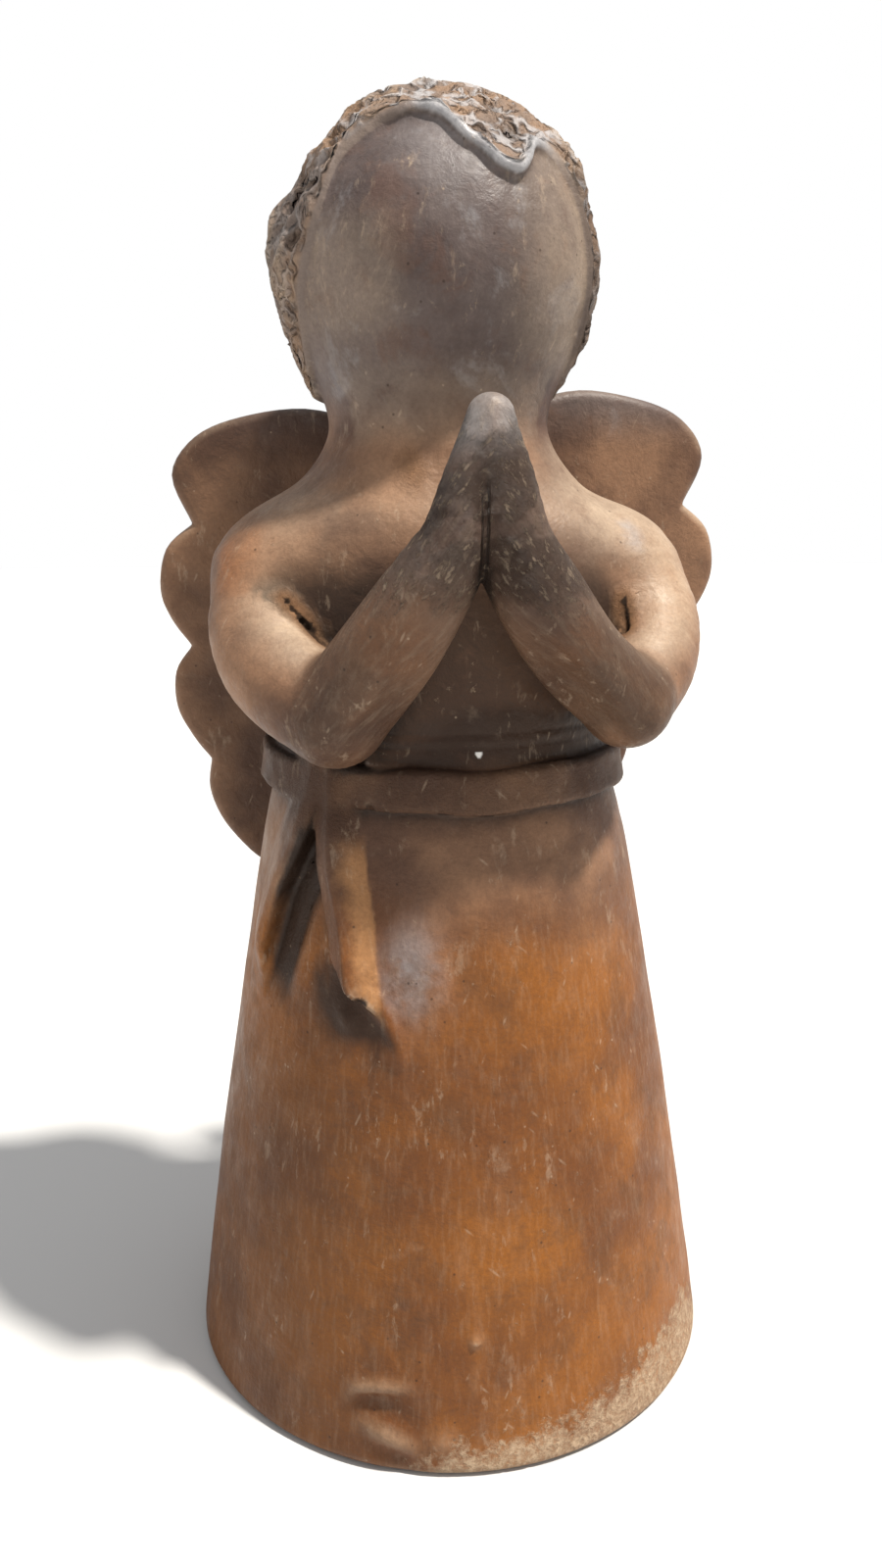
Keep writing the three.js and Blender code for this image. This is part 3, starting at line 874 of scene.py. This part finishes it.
for name, values in (
    ("hair", hair),
    ("painted_crevice_shade", painted_crevice_shade),
    ("bulge", bulge),
    ("inside", inside),
    ("skirt", skirt),
    ("grey", grey),
    ("burn_and_shade", burn_and_shade),
    ("crust", crust),
    ("hands", hands),
    ("speck", white_speck),
    ("torn", torn),
    ("shadow_and_soot", shadow_and_soot),
    ("dust_and_painted_light", dust_and_painted_light),
    ("reach", np.clip(reach, -10, 10)),
    ("brow", brow),
    ("scuffed", scuffed),
    ("bloom_and_highlight", bloom_and_highlight),
    ("scar", scar),
    ("warm", warm),
    ("painted_hair_shade", painted_hair_shade),
    ("crown", crown),
    ("seam", seam),
    ("belt", belt),
    ("forearm", on_forearm),
    ("ribbon", ribbon),
    ("across_tail", across_tail),
):
    attribute(name, values)

clay_mesh.transform(Matrix.Translation((AXIS_X, 0, 0)))
clay_mesh.transform(Matrix.Scale(MM, 4))
clay_mesh.shade_smooth()
angel = bpy.data.objects.new("angel_surface", clay_mesh)
bpy.context.collection.objects.link(angel)


def srgb(red, green, blue):
    """A linear colour from display values of 0 to 255."""
    parts = [value / 255 for value in (red, green, blue)]
    return (*[v / 12.92 if v < 0.04 else ((v + 0.055) / 1.055) ** 2.4 for v in parts], 1)


class Clay:
    """Builds one material's nodes: each call adds a node and gives its output."""

    def __init__(self, name):
        self.material = bpy.data.materials.new(name)
        self.material.use_nodes = True
        self.tree = self.material.node_tree
        self.shader = self.tree.nodes["Principled BSDF"]
        self.place = self.tree.nodes.new("ShaderNodeTexCoord").outputs["Object"]

    def put(self, socket, value):
        """Links an output to a socket, or sets its value."""
        if isinstance(value, bpy.types.NodeSocket):
            self.tree.links.new(value, socket)
        else:
            socket.default_value = value

    def math(self, operation, *values):
        node = self.tree.nodes.new("ShaderNodeMath")
        node.operation = operation
        for socket, value in zip(node.inputs, values):
            self.put(socket, value)
        return node.outputs[0]

    def times(self, a, b):
        return self.math("MULTIPLY", a, b)

    def read(self, name):
        node = self.tree.nodes.new("ShaderNodeAttribute")
        node.attribute_name = name
        return node.outputs["Fac"]

    def stretched(self, shares):
        """Coordinates multiplied by a share for each axis."""
        node = self.tree.nodes.new("ShaderNodeMapping")
        self.put(node.inputs["Vector"], self.place)
        node.inputs["Scale"].default_value = shares
        return node.outputs[0]

    def slanted(self, angle, length):
        """Coordinates for strokes that lean to the right by the angle, in degrees."""
        node = self.tree.nodes.new("ShaderNodeMapping")
        node.vector_type = "TEXTURE"
        self.put(node.inputs["Vector"], self.place)
        node.inputs["Rotation"].default_value = (0, math.radians(angle), 0)
        node.inputs["Scale"].default_value = (1, 1, length)
        return node.outputs[0]

    def wavy(self, size, reach):
        """Coordinates pushed about by a noise, so that cells come out uneven."""
        shift = self.tree.nodes.new("ShaderNodeTexNoise")
        self.put(shift.inputs["Vector"], self.place)
        shift.inputs["Scale"].default_value = 1 / (size * MM)
        node = self.tree.nodes.new("ShaderNodeVectorMath")
        node.operation = "MULTIPLY_ADD"
        self.put(node.inputs[0], shift.outputs["Color"])
        node.inputs[1].default_value = (2 * reach * MM,) * 3
        self.put(node.inputs[2], self.place)
        return node.outputs[0]

    def noise(self, size, detail=3, rough=0.5, place=None, twist=0):
        node = self.tree.nodes.new("ShaderNodeTexNoise")
        self.put(node.inputs["Vector"], place or self.place)
        node.inputs["Scale"].default_value = 1 / (size * MM)
        node.inputs["Detail"].default_value = detail
        node.inputs["Roughness"].default_value = rough
        node.inputs["Distortion"].default_value = twist
        return node.outputs["Fac"]

    def blend(self, share, a, b):
        """Number a, going over to number b."""
        node = self.tree.nodes.new("ShaderNodeMix")
        for index, value in ((0, share), (2, a), (3, b)):
            self.put(node.inputs[index], value)
        return node.outputs[0]

    def cells(self, size, feature="F1", place=None):
        node = self.tree.nodes.new("ShaderNodeTexVoronoi")
        node.feature = feature
        self.put(node.inputs["Vector"], place or self.place)
        node.inputs["Scale"].default_value = 1 / (size * MM)
        return node.outputs["Distance"]

    def ramp(self, value, low, high, bottom=0, top=1):
        node = self.tree.nodes.new("ShaderNodeMapRange")
        node.interpolation_type = "SMOOTHSTEP"
        for socket, given in zip(node.inputs, (value, low, high, bottom, top)):
            self.put(socket, given)
        return node.outputs[0]

    def mix(self, share, a, b):
        """Colour a with that share of colour b over it."""
        node = self.tree.nodes.new("ShaderNodeMix")
        node.data_type = "RGBA"
        for index, value in ((0, share), (6, a), (7, b)):
            self.put(node.inputs[index], value)
        return node.outputs[2]

    def bump(self, height, strength, depth, normal=None):
        node = self.tree.nodes.new("ShaderNodeBump")
        node.inputs["Strength"].default_value = strength
        node.inputs["Distance"].default_value = depth * MM
        self.put(node.inputs["Height"], height)
        if normal:
            self.put(node.inputs["Normal"], normal)
        return node.outputs[0]


# Colours of the clay
ORANGE = srgb(137, 82, 27)
DEEP_ORANGE = srgb(105, 61, 26)
BROWN = srgb(150, 113, 86)
DARK_BROWN = srgb(94, 67, 52)
GREY = srgb(112, 99, 95)
DARK_GREY = srgb(80, 68, 66)
PALE = srgb(190, 168, 144)
WARM = srgb(146, 96, 60)
RUSSET = srgb(98, 70, 58)
RUST = srgb(94, 60, 33)
# Tan of the sash tail's face that is turned to the light, a painted light
SUNLIT_TAIL_TAN = srgb(176, 128, 84)
BURNT_AND_SHADE = srgb(50, 33, 22)
STEEL = srgb(154, 152, 154)
HAIR_TAN = srgb(158, 124, 94)
HAIR_GREY = srgb(122, 108, 100)
RIDGE_GREY = srgb(192, 192, 195)
LIME = srgb(204, 176, 146)
RAW = srgb(166, 122, 86)
# Near-black for soot, grain and pores, and for painted shade in crevices, hollows and the seam
SOOT_AND_SHADE = srgb(40, 27, 19)
WHITE = srgb(235, 232, 228)

SEAM_X = (AXIS_X + 0.3) * MM  # the lines between the hands
SEAM_GAP = 1.5 * MM
MIDDLE = (-4 * MM, 2 * MM)  # where strokes along the left arm go over to those along the right
SHEEN = 0.25

# Shares and textures
clay = Clay("fired_clay")
clay.shader.inputs["Specular IOR Level"].default_value = SHEEN
skirt_share = clay.read("skirt")
grey_share = clay.read("grey")
past_edge = clay.ramp(clay.read("reach"), -0.5, 0.6)
hair_share = clay.times(clay.ramp(clay.read("hair"), 0.1, 0.5), past_edge)
patches = clay.noise(42, 4, 0.55)
mottle = clay.noise(9, 5, 0.62)
grain = clay.noise(1.2, 4, 0.7)
strokes = clay.noise(1.6, 5, 0.6, clay.stretched((1, 1, 0.1)))
wide_strokes = clay.noise(8, 5, 0.62, clay.stretched((1, 1, 0.2)))
upright = clay.math("MAXIMUM", clay.times(skirt_share, 0.6), clay.times(grey_share, 0.2))
leaning = clay.noise(1.5, 5, 0.62, clay.slanted(24, 12))
along_left = clay.noise(2, 5, 0.62, clay.slanted(36, 30))
along_right = clay.noise(2, 5, 0.62, clay.slanted(-43, 30))
sides = clay.tree.nodes.new("ShaderNodeSeparateXYZ")
clay.put(sides.inputs[0], clay.place)
right = clay.ramp(sides.outputs["X"], *MIDDLE)
lengthwise = clay.blend(right, along_left, along_right)
from_seam = clay.math("SUBTRACT", sides.outputs["X"], SEAM_X)
second_seam = clay.math("ABSOLUTE", clay.math("ADD", from_seam, SEAM_GAP))
second_seam = clay.math("ADD", second_seam, 0.1 * MM)
from_seam = clay.math("MINIMUM", clay.math("ABSOLUTE", from_seam), second_seam)
# Painted shade along the seam between the hands: two dark lines where its grooves are
seam_groove_and_shade = clay.times(clay.ramp(from_seam, 0.45 * MM, 0.15 * MM), clay.read("seam"))
rough_share = clay.times(clay.read("hands"), clay.ramp(clay.noise(14, 2), 0.38, 0.52, 0.15, 1))

# Clay, stains, strokes and ticks, with painted shade, shadow and light
orange_clay = clay.mix(clay.ramp(patches, 0.35, 0.65), DEEP_ORANGE, ORANGE)
brown_clay = clay.mix(clay.ramp(patches, 0.38, 0.68), DARK_BROWN, BROWN)
grey_clay = clay.mix(clay.ramp(patches, 0.36, 0.66), DARK_GREY, GREY)
blots = clay.noise(17, 5, 0.68, twist=0.5)
grey_clay = clay.mix(clay.ramp(blots, 0.52, 0.7, 0, 0.55), grey_clay, RUSSET)
grey_clay = clay.mix(clay.ramp(blots, 0.46, 0.3, 0, 0.4), grey_clay, STEEL)
colour = clay.mix(skirt_share, brown_clay, orange_clay)
colour = clay.mix(grey_share, colour, grey_clay)
colour = clay.mix(clay.times(clay.read("warm"), clay.ramp(mottle, 0.3, 0.55, 0.4, 1)), colour, WARM)
drawn = clay.times(clay.ramp(lengthwise, 0.45, 0.75, 0, 0.3), clay.read("forearm"))
colour = clay.mix(drawn, colour, PALE)
# Burnt clay and painted shade, darker by that share
colour = clay.mix(clay.times(clay.read("burn_and_shade"), 0.95), colour, BURNT_AND_SHADE)
# Dust and painted light on upward faces and the face's right side
dust_and_light_share = clay.times(clay.read("dust_and_painted_light"), clay.ramp(mottle, 0.2, 0.7, 0.35, 0.75))
colour = clay.mix(dust_and_light_share, colour, PALE)
smear = clay.times(clay.ramp(wide_strokes, 0.5, 0.8, 0, 0.42), upright)
colour = clay.mix(smear, colour, clay.mix(skirt_share, GREY, BROWN))
# Bloom, with painted highlights on the upper face and the right shoulder
bloom_and_highlight_share = clay.times(clay.read("bloom_and_highlight"), clay.ramp(mottle, 0.3, 0.6, 0.3, 0.75))
colour = clay.mix(bloom_and_highlight_share, colour, STEEL)
# Painted light on the sash tail's right face, turned to the light, and painted shade on its left
# face
tail_side = clay.math("ADD", clay.read("across_tail"), clay.math("SUBTRACT", mottle, 0.5))
lit_tail = clay.times(clay.read("ribbon"), clay.ramp(tail_side, 0, 0.65, 0, 0.75))
colour = clay.mix(lit_tail, colour, SUNLIT_TAIL_TAN)
dim_tail = clay.times(clay.read("ribbon"), clay.ramp(tail_side, 0.12, -0.25, 0, 0.25))
colour = clay.mix(dim_tail, colour, DARK_BROWN)
colour = clay.mix(clay.times(clay.read("scar"), 0.3), colour, LIME)
scuffs = clay.times(clay.ramp(leaning, 0.5, 0.75, 0, 0.28), clay.read("scuffed"))
colour = clay.mix(scuffs, colour, PALE)
colour = clay.mix(clay.ramp(mottle, 0.6, 0.85, 0, 0.22), colour, PALE)
colour = clay.mix(clay.times(clay.ramp(blots, 0.5, 0.66, 0, 0.45), skirt_share), colour, RUST)
smudges = clay.ramp(clay.noise(4, 5, 0.7, clay.stretched((1, 1, 0.3)), twist=0.2), 0.57, 0.68)
smudges = clay.times(smudges, clay.ramp(clay.noise(26, 2), 0.42, 0.6))
colour = clay.mix(clay.times(smudges, 0.26), colour, PALE)
ticks = clay.ramp(clay.cells(3.4, place=clay.slanted(24, 7)), 0.15, 0.05)
crossing = clay.ramp(clay.cells(4.1, place=clay.slanted(-48, 6)), 0.13, 0.04)
ticks = clay.math("MAXIMUM", ticks, crossing)
ticks = clay.times(ticks, clay.ramp(mottle, 0.46, 0.6))
colour = clay.mix(clay.times(ticks, 0.3), colour, PALE)
colour = clay.mix(clay.ramp(mottle, 0.42, 0.2, 0, 0.4), colour, DARK_BROWN)
colour = clay.mix(clay.times(clay.ramp(strokes, 0.45, 0.75, 0, 0.16), upright), colour, PALE)
colour = clay.mix(clay.times(clay.ramp(strokes, 0.48, 0.25, 0, 0.3), upright), colour, DARK_BROWN)

# Hair
edges = clay.cells(7.4, "DISTANCE_TO_EDGE", clay.wavy(8, 5))
inner_hair = clay.times(hair_share, clay.ramp(clay.read("reach"), 1.5, 4))
ridges = clay.times(clay.ramp(edges, 0.2, 0.02), clay.ramp(clay.noise(6, 3), 0.42, 0.56))
crown_share = clay.read("crown")
hair_colour = clay.mix(clay.ramp(patches, 0.35, 0.65, 0, 0.7), HAIR_GREY, HAIR_TAN)
# Tan and pale ridges on the crown: clay colour with painted light, the left side kept darker as in
# shade
tanned = clay.times(clay.ramp(mottle, 0.4, 0.65, 0, 0.7), crown_share)
hair_colour = clay.mix(tanned, hair_colour, HAIR_TAN)
ridge_share = clay.times(ridges, clay.ramp(crown_share, 0, 1, 0.2, 0.65))
hair_colour = clay.mix(ridge_share, hair_colour, RIDGE_GREY)
hair_colour = clay.mix(clay.ramp(clay.read("reach"), 3, 1.2), hair_colour, HAIR_GREY)
# Painted shade on the hair
hair_colour = clay.mix(clay.times(clay.read("painted_hair_shade"), 0.85), hair_colour, BURNT_AND_SHADE)
# Painted highlight on the proud top of the hair's front edge, and painted steel-grey sheen along it
painted_brow_highlight = clay.times(clay.read("brow"), clay.ramp(clay.read("bulge"), 0.1, 0.4, 0, 0.9))
painted_brow_sheen = clay.times(clay.ramp(clay.read("brow"), 0.2, 0.8), clay.ramp(mottle, 0.3, 0.55, 0.4, 1))
hair_colour = clay.mix(painted_brow_sheen, hair_colour, STEEL)
hair_colour = clay.mix(painted_brow_highlight, hair_colour, RIDGE_GREY)
colour = clay.mix(hair_share, colour, hair_colour)

# Worn and torn places, painted shade in crevices, hollows and the seam, soot, crust, and flakes on
# the hands
worn = clay.times(clay.ramp(clay.read("bulge"), 0.18, 0.75), clay.ramp(mottle, 0.3, 0.6))
worn = clay.times(worn, clay.ramp(clay.read("burn_and_shade"), 0, 0.5, 1, 0))
colour = clay.mix(clay.times(worn, 0.45), colour, PALE)
colour = clay.mix(clay.times(clay.read("torn"), 0.8), colour, RAW)
# Painted shade: darker where crevices shut the surface in
colour = clay.mix(clay.ramp(clay.read("painted_crevice_shade"), 0.22, 0.75, 0, 0.9), colour, SOOT_AND_SHADE)
# Painted shade and soot in the gutter, on the cut end and in its pit
colour = clay.mix(clay.read("shadow_and_soot"), colour, SOOT_AND_SHADE)
flecks = clay.ramp(clay.cells(5), 0.1, 0.04)
colour = clay.mix(clay.times(flecks, clay.ramp(mottle, 0.5, 0.65, 0, 0.45)), colour, PALE)
pores = clay.ramp(clay.cells(7.3), 0.075, 0.03)
colour = clay.mix(clay.times(pores, 0.6), colour, SOOT_AND_SHADE)
colour = clay.mix(clay.ramp(grain, 0.3, 0.7, 0.2, 0), colour, SOOT_AND_SHADE)
patchy = clay.times(clay.math("SUBTRACT", clay.noise(5, 6, 0.72), 0.5), 2.4)
crust_share = clay.ramp(clay.math("ADD", clay.read("crust"), patchy), 0.3, 0.85)
crust_share = clay.times(crust_share, clay.ramp(clay.noise(1.8, 5, 0.7), 0.36, 0.66, 0.3, 1))
colour = clay.mix(crust_share, colour, LIME)
left_flakes = clay.noise(1.5, 5, 0.7, clay.slanted(40, 3))
right_flakes = clay.noise(1.5, 5, 0.7, clay.slanted(-40, 3))
flaked = clay.blend(right, left_flakes, right_flakes)
flaked = clay.times(clay.ramp(flaked, 0.54, 0.64), rough_share)
colour = clay.mix(clay.times(flaked, 0.5), colour, PALE)
# Painted shade in the seam's grooves
colour = clay.mix(clay.times(seam_groove_and_shade, 0.8), colour, SOOT_AND_SHADE)
colour = clay.mix(clay.read("inside"), colour, clay.mix(clay.ramp(mottle, 0.3, 0.7), RAW, BROWN))
colour = clay.mix(clay.ramp(clay.read("speck"), 0.4, 0.6), colour, WHITE)
clay.put(clay.shader.inputs["Base Color"], colour)

# Roughness
shine = clay.ramp(mottle, 0.3, 0.7, 0.6, 0.42)
glossy = clay.math("MAXIMUM", clay.read("brow"), clay.times(clay.read("bloom_and_highlight"), 0.4))
shine = clay.math("SUBTRACT", shine, clay.times(glossy, 0.2))
matt = clay.math("MAXIMUM", crust_share, clay.read("inside"))
matt = clay.math("MAXIMUM", matt, clay.read("torn"))
clay.put(clay.shader.inputs["Roughness"], clay.math("ADD", shine, clay.times(matt, 0.35)))

# Relief too fine for the mesh
relief = clay.bump(clay.times(strokes, upright), 0.25, 0.4)
relief = clay.bump(grain, 0.35, 0.35, relief)
relief = clay.bump(clay.noise(7, 4, 0.6, twist=0.4), 0.5, 1.3, relief)
relief = clay.bump(clay.noise(2.6, 3, 0.6), 0.3, 0.5, relief)
hollows = clay.times(clay.ramp(edges, 0.26, 0.02), inner_hair)
relief = clay.bump(hollows, 0.9, 1.8, relief)
relief = clay.bump(clay.times(clay.noise(3, 5, 0.66), inner_hair), 0.9, 1.5, relief)
relief = clay.bump(clay.times(leaning, clay.read("scuffed")), 0.7, 0.8, relief)
relief = clay.bump(clay.times(lengthwise, clay.read("forearm")), 0.6, 0.7, relief)
relief = clay.bump(flaked, 1, 1, relief)
relief = clay.bump(clay.math("SUBTRACT", 1, seam_groove_and_shade), 1, 1.2, relief)
sandy = clay.times(clay.noise(1.1, 5, 0.75), clay.read("belt"))
relief = clay.bump(sandy, 0.9, 0.9, relief)
rugged = clay.math("MAXIMUM", clay.times(crust_share, 0.6), clay.read("torn"))
rugged = clay.math("MAXIMUM", rugged, rough_share)
coarse = clay.times(clay.noise(2.4, 7, 0.8, twist=1.4), rugged)
clay.put(clay.shader.inputs["Normal"], clay.bump(coarse, 1, 2.2, relief))
clay_mesh.materials.append(clay.material)

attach(angel, "root")
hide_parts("angel")

# Camera, floor and light: metres and degrees
CAMERA_PLACE = (-0.047, -0.3887, 0.286)
CAMERA_PITCH = 13.76
CAMERA_YAW = 6
LENS = 28.125
SENSOR = 36
FLOOR_HALF = 4
FLOOR_DROP = 0.0005
FLOOR_GREY = 0.6
FLOOR_ROUGHNESS = 0.9
STUDIO_LIGHT = 0.62
STUDIO_SEEN = 1.0
SUN_STRENGTH = 5.6
SUN_COLOUR = (1, 0.95, 0.87)
SUN_WIDTH = 4
SUN_ELEVATION = 64
SUN_AZIMUTH = 61

camera_data = bpy.data.cameras.new("camera")
camera_data.lens = LENS
camera_data.sensor_width = SENSOR
camera_data.clip_start = 0.01
camera = bpy.data.objects.new("camera", camera_data)
camera.location = CAMERA_PLACE
camera.rotation_euler = (math.radians(90 - CAMERA_PITCH), 0, math.radians(-CAMERA_YAW))
bpy.context.collection.objects.link(camera)
bpy.context.scene.camera = camera

floor_mesh = bpy.data.meshes.new("floor")
signs = ((-1, -1), (1, -1), (1, 1), (-1, 1))
floor_corners = [(FLOOR_HALF * along_x, FLOOR_HALF * along_y, 0) for along_x, along_y in signs]
floor_mesh.from_pydata(floor_corners, [], [(0, 1, 2, 3)])
floor_object = bpy.data.objects.new("floor", floor_mesh)
floor_object.location.z = -FLOOR_DROP
bpy.context.collection.objects.link(floor_object)
floor_material = bpy.data.materials.new("pale_floor")
floor_material.use_nodes = True
floor_shader = floor_material.node_tree.nodes["Principled BSDF"]
floor_shader.inputs["Base Color"].default_value = (FLOOR_GREY, FLOOR_GREY, FLOOR_GREY, 1)
floor_shader.inputs["Roughness"].default_value = FLOOR_ROUGHNESS
floor_mesh.materials.append(floor_material)

# The background that is seen is nearly white, and its light on the figure is softer.
world = bpy.data.worlds.new("studio")
bpy.context.scene.world = world
world.use_nodes = True
tree = world.node_tree
seen = tree.nodes.new("ShaderNodeLightPath").outputs["Is Camera Ray"]
strength = tree.nodes.new("ShaderNodeMapRange")
strength.inputs["To Min"].default_value = STUDIO_LIGHT
strength.inputs["To Max"].default_value = STUDIO_SEEN
tree.links.new(seen, strength.inputs["Value"])
tree.links.new(strength.outputs[0], tree.nodes["Background"].inputs["Strength"])
tree.nodes["Background"].inputs["Color"].default_value = (1, 1, 1, 1)

sun_data = bpy.data.lights.new("key", "SUN")
sun_data.energy = SUN_STRENGTH
sun_data.color = SUN_COLOUR
sun_data.angle = math.radians(SUN_WIDTH)
sun = bpy.data.objects.new("key", sun_data)
sun.rotation_euler = (math.radians(90 - SUN_ELEVATION), 0, math.radians(SUN_AZIMUTH))
bpy.context.collection.objects.link(sun)

bpy.context.scene.view_settings.view_transform = "Standard"
